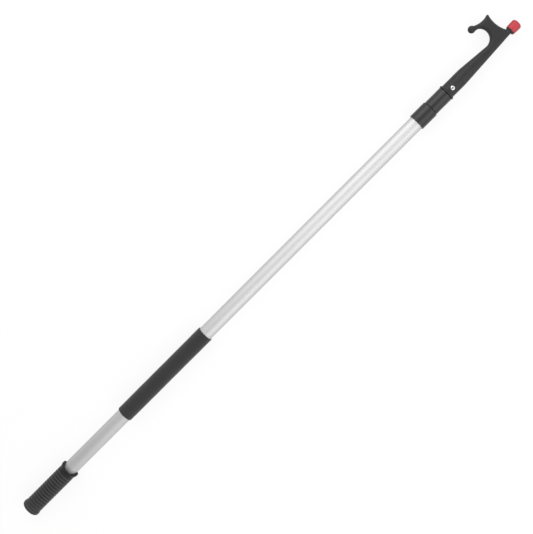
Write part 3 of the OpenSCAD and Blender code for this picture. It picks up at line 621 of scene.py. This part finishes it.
def foam_rows():
    """Foam sleeve: a rounded wall section turned round the tube. Its outside gives a little along and
    round: radius + the sum of the waves, height sin(place along / length + number times angle), - how far
    it is sunk."""
    bore = OUTER_TUBE[2] + PUSH_FIT
    x = np.arange(FOAM_START + 2 * FOAM_STEP, FOAM_END - 2 * FOAM_STEP, FOAM_STEP)
    ends = rounded(
        [
            (FOAM_START, bore, FOAM_EDGE),
            (FOAM_START, FOAM_R, FOAM_ROUND),
            (FOAM_END, FOAM_R, FOAM_ROUND),
            (FOAM_END, bore, FOAM_EDGE),
        ]
    )
    middle = len(ends) // 2
    profile = np.concatenate([ends[:middle], np.stack([x, np.full_like(x, FOAM_R)], axis=-1), ends[middle:]])
    rows = turned(profile)
    a = np.linspace(0, 2 * np.pi, rows.shape[1], endpoint=False)[None, :]
    along = rows[:, :, 0]
    give = sum(high * np.sin(along / wave + turns * a) for high, wave, turns in FOAM_WAVES) - FOAM_SUNK
    radius = np.hypot(rows[:, :, 1], rows[:, :, 2])
    outside = ease((radius - bore - FOAM_FIRM) / (FOAM_R - bore - FOAM_FIRM))
    rows[:, :, 1:] *= (1 + outside * give / radius)[:, :, None]
    return rows


def unit(angle):
    """Directions in the hook's plane, from angles in degrees."""
    angle = np.radians(angle)
    return np.stack([np.cos(angle), np.sin(angle)], axis=-1)


def cross(a, b):
    """Cross product of directions in the hook's plane."""
    return a[..., 0] * b[..., 1] - a[..., 1] * b[..., 0]


def arc_middle(start, end, radius):
    """Middle of the circle through two points, on the left of the way from the first to the second."""
    half = (end - start) / 2
    side = np.array([-half[1], half[0]]) / np.linalg.norm(half)
    return start + half + side * np.sqrt(radius**2 - half @ half)


def arc_turn(middle, start, end):
    """Turn about a middle from one point to another, in radians."""
    return np.arctan2(cross(start - middle, end - middle), (start - middle) @ (end - middle))


def on_arc(middle, start, end, t):
    """Points at the shares t of the turn about a middle from one point to another."""
    turn = t * arc_turn(middle, start, end)
    away = start - middle
    cos, sin = np.cos(turn), np.sin(turn)
    return middle + np.stack([away[0] * cos - away[1] * sin, away[0] * sin + away[1] * cos], axis=-1)


def to_line(angle, start, end):
    """Distance from the middle of the throat along rays to the line through two points."""
    return cross(start - THROAT, end - start) / cross(unit(angle), end - start)


def to_circle(angle, middle, radius):
    """Distance from the middle of the throat along rays to the near side of a circle."""
    way = middle - THROAT
    along = unit(angle) @ way
    return along - np.sqrt(np.maximum(0, along**2 - way @ way + radius**2))


def arm_fillet():
    """Reach and angle, from the middle of the throat, of the middle of the arm's fillet. Its circle touches
    the throat's from inside and the ball's from outside, so the three middles lie the ball's reach, throat
    radius - fillet and ball radius + fillet apart."""
    reach = THROAT_R - ARM_FILLET
    cosine = (BALL_REACH**2 + reach**2 - (BALL_R + ARM_FILLET) ** 2) / (2 * BALL_REACH * reach)
    return reach, BALL_ANGLE - np.degrees(np.arccos(cosine))


def throat_edge(angle):
    """Distance from the middle of the throat along rays to its edge: the throat's circle, and from the
    fillet's angle on the far side of the fillet, reach cos turn + the root of fillet squared - (reach sin
    turn) squared."""
    reach, start = arm_fillet()
    turn = np.radians(np.maximum(angle - start, 0))
    return reach * np.cos(turn) + np.sqrt(np.maximum(0, ARM_FILLET**2 - (reach * np.sin(turn)) ** 2))


def section_rows(inner, outer, half, inner_round, outer_round, power, count):
    """Rows of the hook's loft. A section runs from an inner point to an outer one and is 2 half thick. Its
    edges are quarter ellipses: at angle a the point lies rounding (1 - |cos a| ^ (2 / power)) in from its
    end, and half |sin a| ^ (2 / power) off the hook's plane."""
    a = np.linspace(0, 2 * np.pi, count, endpoint=False)[None, :]
    at_outer = np.cos(a) > 1e-9
    bend = 2 / np.where(at_outer, power[:, None], ELLIPSE)
    depth = np.where(at_outer, outer_round[:, None], inner_round[:, None]) * (1 - np.abs(np.cos(a)) ** bend)
    way = (outer - inner) / np.linalg.norm(outer - inner, axis=1, keepdims=True)
    from_outer = outer[:, None] - depth[:, :, None] * way[:, None]
    from_inner = inner[:, None] + depth[:, :, None] * way[:, None]
    place = np.where(at_outer[:, :, None], from_outer, from_inner)
    off = half[:, None] * np.sign(np.sin(a)) * np.abs(np.sin(a)) ** bend
    return np.concatenate([place, off[:, :, None]], axis=-1)


def seat_rivets(rows):
    """Sinks the round flats for the rivets into the socket: a point within the seat's radius of the rivet's
    axis comes down along that axis to the seat, with a small fillet at the rim."""
    clock = np.radians(RIVET_CLOCK)
    x, y, z = rows[:, :, 0], rows[:, :, 1], rows[:, :, 2]
    side = y * np.cos(clock) + z * np.sin(clock)
    up = -y * np.sin(clock) + z * np.cos(clock)
    out = ease((np.hypot(x - RIVET_X, side) - RIVET_SEAT_R + SEAT_RIM_INSIDE) / SEAT_RIM)
    seat = RIVET_SEAT + (np.abs(up) - RIVET_SEAT) * out
    outside = (np.hypot(y, z) > SOCKET_BORE + SEAT_MARGIN) & (x > RIVET_X - SEAT_REACH)
    up = np.where(outside & (np.abs(up) > RIVET_SEAT), np.sign(up) * seat, up)
    rows[:, :, 1] = side * np.cos(clock) - up * np.sin(clock)
    rows[:, :, 2] = side * np.sin(clock) + up * np.cos(clock)
    return rows


def socket_rows(count):
    """Socket of the head: circles from the floor of its bore down to the mouth, out over the flange and up
    to the shank, with the rivets' seats sunk in. They start on the side away from the hook, as the sections
    do."""
    corners = [
        (SOCKET_DEPTH, 0, 0),
        (SOCKET_DEPTH, SOCKET_BORE, SOCKET_EDGE),
        (0, SOCKET_BORE, SOCKET_EDGE),
        (0, FLANGE_R, FLANGE_FOOT_ROUND),
        (FLANGE_LEN, FLANGE_R, FLANGE_TOP_ROUND),
        (FLANGE_LEN, SOCKET_R, FLANGE_FILLET),
        (SOCKET_TOP, SOCKET_R, 0),
        (SOCKET_TOP, 0, 0),
    ]
    profile = rounded(corners)
    profile = profile[profile[:, 1] > TINY][:-1]
    up = np.arange(FLANGE_LEN + FLANGE_FILLET + SOCKET_STEP, SOCKET_TOP, SOCKET_STEP)
    profile = np.concatenate([profile, np.stack([up, np.full_like(up, SOCKET_R)], axis=-1)])
    rows = turned(profile, count)
    rows[:, :, 1] *= -1
    return seat_rivets(rows)


def shank_rows(count, foot):
    """Shank of the head: sections square to the pole, from the socket's circle to the throat's foot. The
    side towards the hook runs level to the bend and then falls straight to that foot, the other side falls
    straight to the neck, and the thickness and the edges ease over to the crown's."""
    x = np.linspace(SOCKET_TOP, foot[0] - SHANK_GAP, SHANK_ROWS)
    t = (x - x[0]) / (foot[0] - x[0])
    falls = (foot[1] - SOCKET_R) / (foot[0] - SHANK_BEND)
    upper = -smooth_max(np.full_like(x, -SOCKET_R), -SOCKET_R - falls * (x - SHANK_BEND), SHANK_BEND_ROUND)
    lower = -SOCKET_R + (SOCKET_R - SHANK_LOWER) * (x - x[0]) / (NECK_X - x[0])
    wide = (upper - lower) / 2
    edge = wide + (np.minimum(CROWN_EDGE, wide) - wide) * ease(t)
    thick = SOCKET_R + (CROWN_T / 2 - SOCKET_R) * ease(t)
    inner, outer = np.stack([x, upper], axis=-1), np.stack([x, lower], axis=-1)
    return section_rows(inner, outer, thick, edge, edge, np.full_like(x, ELLIPSE), count)


def crown_rows(count, brow, ball_start):
    """Crown of the hook: sections from the throat's edge to the outer side, over the heel, the neck's root,
    the front hollow, the spike and the brow. Towards the spike the outer edge sharpens to a wedge, and
    along the brow the crown thins to the arm. The spike's point is a circle's arc through the ends of the
    two hollows, a weighted parabola whose middle weight is the sine of half the point's angle."""
    neck_low, neck_high = np.array([NECK_X, -SHANK_LOWER]), np.array([NECK_X, SHANK_UPPER])
    low_angle, high_angle = (
        np.degrees(np.arctan2(*(place - THROAT)[::-1])) for place in (neck_low, neck_high)
    )
    shank_low = np.array([SOCKET_TOP, -SOCKET_R])
    up_heel = np.linspace(THROAT_START, low_angle, HEEL_ROWS, endpoint=False)
    up_neck = np.linspace(low_angle, high_angle, NECK_ROWS, endpoint=False)
    heel = THROAT + to_line(up_heel, shank_low, neck_low)[:, None] * unit(up_heel)
    neck = THROAT + to_line(up_neck, neck_low, neck_high)[:, None] * unit(up_neck)

    front = arc_middle(SPIKE, neck_high, FRONT_R)
    brow_end = THROAT + to_circle(ball_start, brow, BROW_R) * unit(ball_start)
    front_len = FRONT_R * abs(arc_turn(front, neck_high, SPIKE))
    brow_len = BROW_R * abs(arc_turn(brow, SPIKE, brow_end))
    front_share, brow_share = np.linspace(0, 1, FRONT_ROWS), np.linspace(0, 1, BROW_ROWS, endpoint=False)
    up_front = front_share * (1 - SPIKE_BLUNTING / front_len)
    up_brow = 1 - (1 - brow_share) * (1 - SPIKE_BLUNTING / brow_len)
    front_side = on_arc(front, neck_high, SPIKE, up_front)
    brow_side = on_arc(brow, SPIKE, brow_end, up_brow)
    ends = np.stack([front_side[-1], SPIKE, brow_side[0]])
    half_angle = np.arccos(np.dot(*((ends[[0, 2]] - SPIKE) / SPIKE_BLUNTING)).clip(-1, 1)) / 2
    t = np.linspace(0, 1, POINT_ROWS)[1:-1, None]
    weight = np.concatenate([(1 - t) ** 2, 2 * t * (1 - t) * np.sin(half_angle), t**2], axis=1)
    point = weight @ ends / weight.sum(axis=1, keepdims=True)

    front_angle = high_angle + (SPIKE_ROOT - high_angle) * up_front
    brow_angle = SPIKE_ROOT + (ball_start - SPIKE_ROOT) * up_brow
    point_angle = front_angle[-1] + (brow_angle[0] - front_angle[-1]) * t[:, 0]
    angle = np.concatenate([up_heel, up_neck, front_angle, point_angle, brow_angle])
    before = np.zeros(len(up_heel) + len(up_neck))
    front_wedge = ease(1 - (1 - front_share) / SPIKE_SHARE)
    brow_wedge = ease(1 - brow_share / SPIKE_SHARE)
    to_spike = np.concatenate([before, front_wedge, np.ones(len(t)), brow_wedge])
    on_arm = np.concatenate([before, np.zeros(len(up_front) + len(t)), ease(brow_share)])
    inner = THROAT + throat_edge(angle)[:, None] * unit(angle)
    outer = np.concatenate([heel, neck, front_side, point, brow_side])
    width = np.linalg.norm(outer - inner, axis=1)
    edge = np.minimum(CROWN_EDGE, width / 2)
    half = (CROWN_T + (ARM_T - CROWN_T) * on_arm) / 2
    sharp_edge = edge + (width - 2 * edge) * SPIKE_EDGE_SHARE * to_spike
    power = ELLIPSE + (SPIKE_POWER - ELLIPSE) * to_spike
    return section_rows(inner, outer, half, edge, sharp_edge, power, count)


def ball_rows(count, brow, ball_half):
    """Ball at the end of the arm: rays from the middle of the throat cross it as chords, whose half length
    is the root of radius squared - (reach sin turn) squared. Where the arm runs in, a section starts on the
    arm's fillet up to where that touches the ball, and ends on the larger of the two, with a small
    fillet."""
    reach, start = arm_fillet()
    ball_way = BALL_REACH * unit(BALL_ANGLE)
    touch = ball_way + (reach * unit(start) - ball_way) * BALL_R / (BALL_R + ARM_FILLET)
    touch_angle = np.degrees(np.arctan2(touch[1], touch[0]))
    up_arm = np.linspace(BALL_ANGLE - ball_half, BALL_ANGLE, BALL_ROWS, endpoint=False)
    over = np.linspace(0, np.pi / 2, BALL_ROWS)[:-1]
    angle = np.concatenate([up_arm, BALL_ANGLE + ball_half * np.sin(over)])
    turn = angle - BALL_ANGLE
    chord = np.sqrt(np.maximum(0, BALL_R**2 - (BALL_REACH * np.sin(np.radians(turn))) ** 2))
    middle = BALL_REACH * np.cos(np.radians(turn))
    arm_reach = to_circle(np.minimum(angle, BALL_ANGLE), brow, BROW_R)
    # The arm is lost in the ball between half and a sixth of the way before its middle
    in_ball = ease((turn + ball_half / 2) / (ball_half / 3))
    low = np.where(angle < touch_angle, throat_edge(angle), middle - chord)
    high = smooth_max(middle + chord, arm_reach, BALL_FILLET)
    half = smooth_max(chord, np.full_like(angle, ARM_T / 2), BALL_FILLET)
    high = high + (middle + chord - high) * in_ball
    half = half + (chord - half) * in_ball
    edge = (high - low) / 2
    inner, outer = THROAT + low[:, None] * unit(angle), THROAT + high[:, None] * unit(angle)
    return section_rows(inner, outer, half, edge, edge, np.full_like(angle, ELLIPSE), count)


def head_rows(count=HEAD_SIDES):
    """Hook head in one loft: the circles of the socket, the sections of the shank and the crown, and the
    ball."""
    ball = THROAT + BALL_REACH * unit(BALL_ANGLE)
    ball_half = np.degrees(np.arcsin(BALL_R / BALL_REACH))
    brow = arc_middle(ball + BALL_R * BROW_ON_BALL, SPIKE, BROW_R)
    rows = np.concatenate(
        [
            socket_rows(count),
            shank_rows(count, THROAT + THROAT_R * unit(THROAT_START)),
            crown_rows(count, brow, BALL_ANGLE - ball_half),
            ball_rows(count, brow, ball_half),
        ]
    )
    rows[:, :, 0] += HEAD_X
    return rows


def stem_rows():
    """Neck of the head: an oval stem that runs on from the crown into the cup, high through the hook's
    thickness and shifted a little to the hook's side."""
    x = HEAD_X + NECK_X + np.linspace(STEM_FOOT, STEM_TOP, STEM_ROWS)[:, None]
    rows = circles(x, np.ones_like(x), TIP_SIDES)
    return rows * [1, STEM_WIDE, STEM_HIGH] + [0, STEM_SHIFT - TIP_DROP, 0]


def tip_rows():
    """Cup and peg of the head: a round-footed cup under the cap and a step in to the peg, turned round a
    line that lies a little off the pole's middle, away from the hook."""
    foot, top = HEAD_X + NECK_X + CUP_START, HEAD_X + NECK_X + CUP_END
    corners = [
        (foot, 0, 0),
        (foot, CUP_R, CUP_ROUND),
        (top, CUP_R, CUP_EDGE),
        (top, PEG_R, PEG_STEP_EDGE),
        (top + PEG_LEN, PEG_R, PEG_ROUND),
        (top + PEG_LEN, 0, 0),
    ]
    return turned(rounded(corners), TIP_SIDES, TIP_DROP)


def cap_rows():
    """Tip cap: from the end of its bore out over the foot, up the widening wall and over the rounded end,
    turned round the peg's line."""
    foot = HEAD_X + NECK_X + CUP_END
    corners = [
        (foot + PEG_LEN + PUSH_FIT, 0, 0),
        (foot + PEG_LEN + PUSH_FIT, PEG_R + PUSH_FIT, CAP_EDGE),
        (foot, PEG_R + PUSH_FIT, CAP_EDGE),
        (foot, CAP_FOOT_R, CAP_FOOT_ROUND),
        (foot + CAP_TAPER_LEN, CAP_R, CAP_SIDE_ROUND),
        (foot + CAP_LEN, CAP_R, CAP_ROUND),
        (foot + CAP_LEN, 0, 0),
    ]
    return turned(rounded(corners, 12), TIP_SIDES, TIP_DROP)


def stand_out(rows, turn):
    """Carries rows that were turned along X over to a rivet's place: X becomes the rivet's axis, which
    leaves the pole at the given angle from the top."""
    turn = np.radians(RIVET_CLOCK + turn)
    up, across, side = rows[:, :, 0], rows[:, :, 1], rows[:, :, 2]
    return np.stack(
        [
            HEAD_X + RIVET_X + across,
            side * np.cos(turn) - up * np.sin(turn),
            side * np.sin(turn) + up * np.cos(turn),
        ],
        axis=-1,
    )


def rivet_rows():
    """Blind rivet: a clinched bulb, a plain body and a low domed head, all round the mandrel's bore."""
    corners = [
        (RIVET_FOOT, RIVET_BORE, 0),
        (RIVET_FOOT, RIVET_BULB_R, 0.5),
        (RIVET_CLINCH, RIVET_BULB_R, 0.2),
        (RIVET_CLINCH, RIVET_R, 0.1),
        (RIVET_SEAT, RIVET_R, 0),
        (RIVET_SEAT, RIVET_HEAD_R, 0.05),
        (RIVET_SEAT + RIVET_RIM_LEN, RIVET_HEAD_R, 0.3),
        (RIVET_SEAT + RIVET_HEAD_LEN, RIVET_TOP_R, RIVET_DOME_ROUND),
        (RIVET_SEAT + RIVET_HEAD_LEN, RIVET_BORE, 0.25),
    ]
    return turned(rounded(corners), RIVET_SIDES)


def mandrel_rows():
    """Mandrel left in the rivet: a headed pin with a small broken tip."""
    corners = [
        (MANDREL_FOOT, 0, 0),
        (MANDREL_FOOT, MANDREL_HEAD_R, 0.4),
        (RIVET_FOOT, MANDREL_HEAD_R, 0.2),
        (RIVET_FOOT, MANDREL_R, 0.05),
        (MANDREL_TOP - MANDREL_BREAK_LEN, MANDREL_R, 0.1),
        (MANDREL_TOP, MANDREL_BREAK_R, 0.1),
        (MANDREL_TOP, 0, 0),
    ]
    return turned(rounded(corners, 5), MANDREL_SIDES)


TUBES = {
    "outer": (OUTER_TUBE, "pole"),
    "middle": (MIDDLE_TUBE, "middle_section"),
    "inner": (INNER_TUBE, "inner_section"),
}
for section, (tube, body) in TUBES.items():
    rows = tube_rows(*tube)
    piece(f"{section}_tube_skin", [(rows, True)], f"{section}_tube", body, ALUMINIUM)
piece("end_grip", [(grip_rows(), False)], "butt_grip", "pole", RUBBER)
foam = piece("foam_sleeve", [(foam_rows(), True)], "foam_grip", "pole", FOAM)
# Each collar sits on one tube, and the next smaller tube runs through its lip
COLLARS = {"outer": (OUTER_COLLAR, MIDDLE_TUBE), "middle": (MIDDLE_COLLAR, INNER_TUBE)}
for section, (collar, inside) in COLLARS.items():
    tube, body = TUBES[section]
    rows = collar_rows(*collar, tube[2] + PUSH_FIT, inside[2] + RUNNING_FIT)
    node = f"{section}_collar"
    piece(f"{node}_moulding", [(rows, True)], node, body, COLLAR_NYLON)
head = [(head_rows(), False), (stem_rows(), False), (tip_rows(), False)]
piece("hook_moulding", head, "hook_head", "inner_section", HEAD_NYLON)
piece("tip_cap_moulding", [(cap_rows(), False)], "tip_cap", "inner_section", VINYL)
rivets = [(stand_out(rivet_rows(), turn), True) for turn in (0, 180)]
piece("head_rivet_pair", rivets, "head_rivets", "inner_section", RIVET)
# The mandrels' ends are painted near black, as painted shade for the rivets' bores
mandrels = [(stand_out(mandrel_rows(), turn), False) for turn in (0, 180)]
piece("rivet_mandrel_pair", mandrels, "rivet_mandrels", "inner_section", STEEL)

# The locks inside the tubes keep their CAD shape
LOCK_FINISHES = {
    "lock_plug": MILKY,
    "guide_ring": MILKY,
    "cam": COLLAR_NYLON,
    "plug_pin": STEEL,
    "cam_washer": STEEL,
    "cam_screw": STEEL,
}
for section in ("middle", "inner"):
    for part, material in LOCK_FINISHES.items():
        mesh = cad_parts[f"{section}_{part}"].data
        mesh.materials.clear()
        mesh.materials.append(material)


def watched(tree):
    """Two shares of a floor's or a room's light: 1 for the camera and for what shows in a reflection or
    through a clear piece, and 1 for the camera alone. Light that falls on other pieces has 0."""
    ray = tree.nodes.new("ShaderNodeLightPath").outputs
    camera = ray["Is Camera Ray"]
    seen = add(tree, "ShaderNodeMath", {0: camera, 1: ray["Is Glossy Ray"]}, operation="MAXIMUM")
    return add(tree, "ShaderNodeMath", {0: seen, 1: ray["Is Transmission Ray"]}, operation="MAXIMUM"), camera


FLOOR_HALF, PAPER_GLOW, ROOM_FILL = 30.0, 0.87, 0.42


def floor_finish():
    """Matt white paper, which shows itself and its shadows to the camera a little brighter than the lamps
    make it."""
    material, tree, _ = bare("white_paper")
    seen, _ = watched(tree)
    glow = add(tree, "ShaderNodeMath", {0: seen, 1: PAPER_GLOW}, operation="MULTIPLY")
    shader = add(
        tree,
        "ShaderNodeBsdfPrincipled",
        {
            "Base Color": linear("#747474"),
            "Roughness": 1.0,
            "Specular IOR Level": 0.0,
            "Emission Color": (1.0, 1.0, 1.0, 1.0),
            "Emission Strength": glow,
        },
    )
    add(tree, "ShaderNodeOutputMaterial", {"Surface": shader})
    return material


ground = cad_box[0][2]
corners = [(x * FLOOR_HALF, y * FLOOR_HALF, ground) for x, y in ((-1, -1), (1, -1), (1, 1), (-1, 1))]
mesh = bpy.data.meshes.new("floor")
mesh.from_pydata(corners, [], [(0, 1, 2, 3)])
mesh.materials.append(floor_finish())
floor = bpy.data.objects.new("floor", mesh)
bpy.context.scene.collection.objects.link(floor)

# The room shows white to the camera. In reflections it is darker overhead and towards the butt, and the light
# that it casts is weaker than it looks
world = bpy.data.worlds.new("white_studio")
bpy.context.scene.world = world
world.use_nodes = True
tree = world.node_tree
tree.nodes.clear()
seen, to_camera = watched(tree)
direction = add(tree, "ShaderNodeTexCoord", output="Generated")
upward = add(tree, "ShaderNodeSeparateXYZ", {"Vector": direction}, "Z")
onward = add(tree, "ShaderNodeSeparateXYZ", {"Vector": direction}, "X")
overhead = add(
    tree,
    "ShaderNodeMapRange",
    {"Value": upward, "From Min": 0.1, "From Max": 0.7, "To Min": 1.0, "To Max": 0.8},
)
tipward = add(
    tree,
    "ShaderNodeMapRange",
    {"Value": onward, "From Min": -0.6, "From Max": 0.25, "To Min": 0.58, "To Max": 1.15},
)
shade = add(tree, "ShaderNodeMath", {0: overhead, 1: tipward}, operation="MULTIPLY")
white = add(tree, "ShaderNodeMath", {0: shade, 1: to_camera}, operation="MAXIMUM")
room = add(tree, "ShaderNodeBackground", {"Color": white, "Strength": 1.0})
fill = add(tree, "ShaderNodeBackground", {"Color": (1.0, 1.0, 1.0, 1.0), "Strength": ROOM_FILL})
both = add(tree, "ShaderNodeMixShader", {0: seen, 1: fill, 2: room})
add(tree, "ShaderNodeOutputWorld", {"Surface": both})


def posed(place, right, up, back):
    """Placement of a lamp or a camera at a place, with its own axes along three directions."""
    return Matrix.Translation(place) @ Matrix((right, up, back)).transposed().to_4x4()


def softbox(name, place, aim, size, power):
    """Long soft lamp at a place, turned to face a point, with its length along the pole."""
    light = bpy.data.lights.new(name, "AREA")
    light.shape = "RECTANGLE"
    light.size, light.size_y = size
    light.energy = power
    lamp = bpy.data.objects.new(name, light)
    back = (Vector(place) - Vector(aim)).normalized()
    right = Vector((1.0, 0.0, 0.0))
    right = (right - back * right.dot(back)).normalized()
    lamp.matrix_world = posed(place, right, back.cross(right), back)
    bpy.context.scene.collection.objects.link(lamp)


softbox("lamp_hook_side", place=(1.38, 1.22, 1.18), aim=(1.38, 0.0, 0.0), size=(1.8, 1.6), power=13.5)
softbox("lamp_far_side", place=(0.85, -1.22, 1.18), aim=(0.85, 0.0, 0.0), size=(2.4, 1.6), power=13.0)

# The camera stands over the pole, tilted so that the tip is nearer, and the pole runs along the picture's
# diagonal
IMAGE_LONG_SIDE = 534
FOCAL_PX, CAMERA_DISTANCE = 945.0, 1.573
TILT = np.radians(5.62)
AIM = Vector((0.58631, 0.00648, 0.0))
camera_data = bpy.data.cameras.new("camera")
camera_data.sensor_width = 36.0
camera_data.lens = camera_data.sensor_width * FOCAL_PX / IMAGE_LONG_SIDE
camera = bpy.data.objects.new("camera", camera_data)
back = Vector((np.sin(TILT), 0.0, np.cos(TILT)))
along = Vector((np.cos(TILT), 0.0, -np.sin(TILT)))
hookward = back.cross(along)
right = (along - hookward).normalized()
up = (along + hookward).normalized()
camera.matrix_world = posed(AIM + back * CAMERA_DISTANCE, right, up, back)
bpy.context.scene.collection.objects.link(camera)
bpy.context.scene.camera = camera
bpy.context.scene.view_settings.view_transform = "Standard"
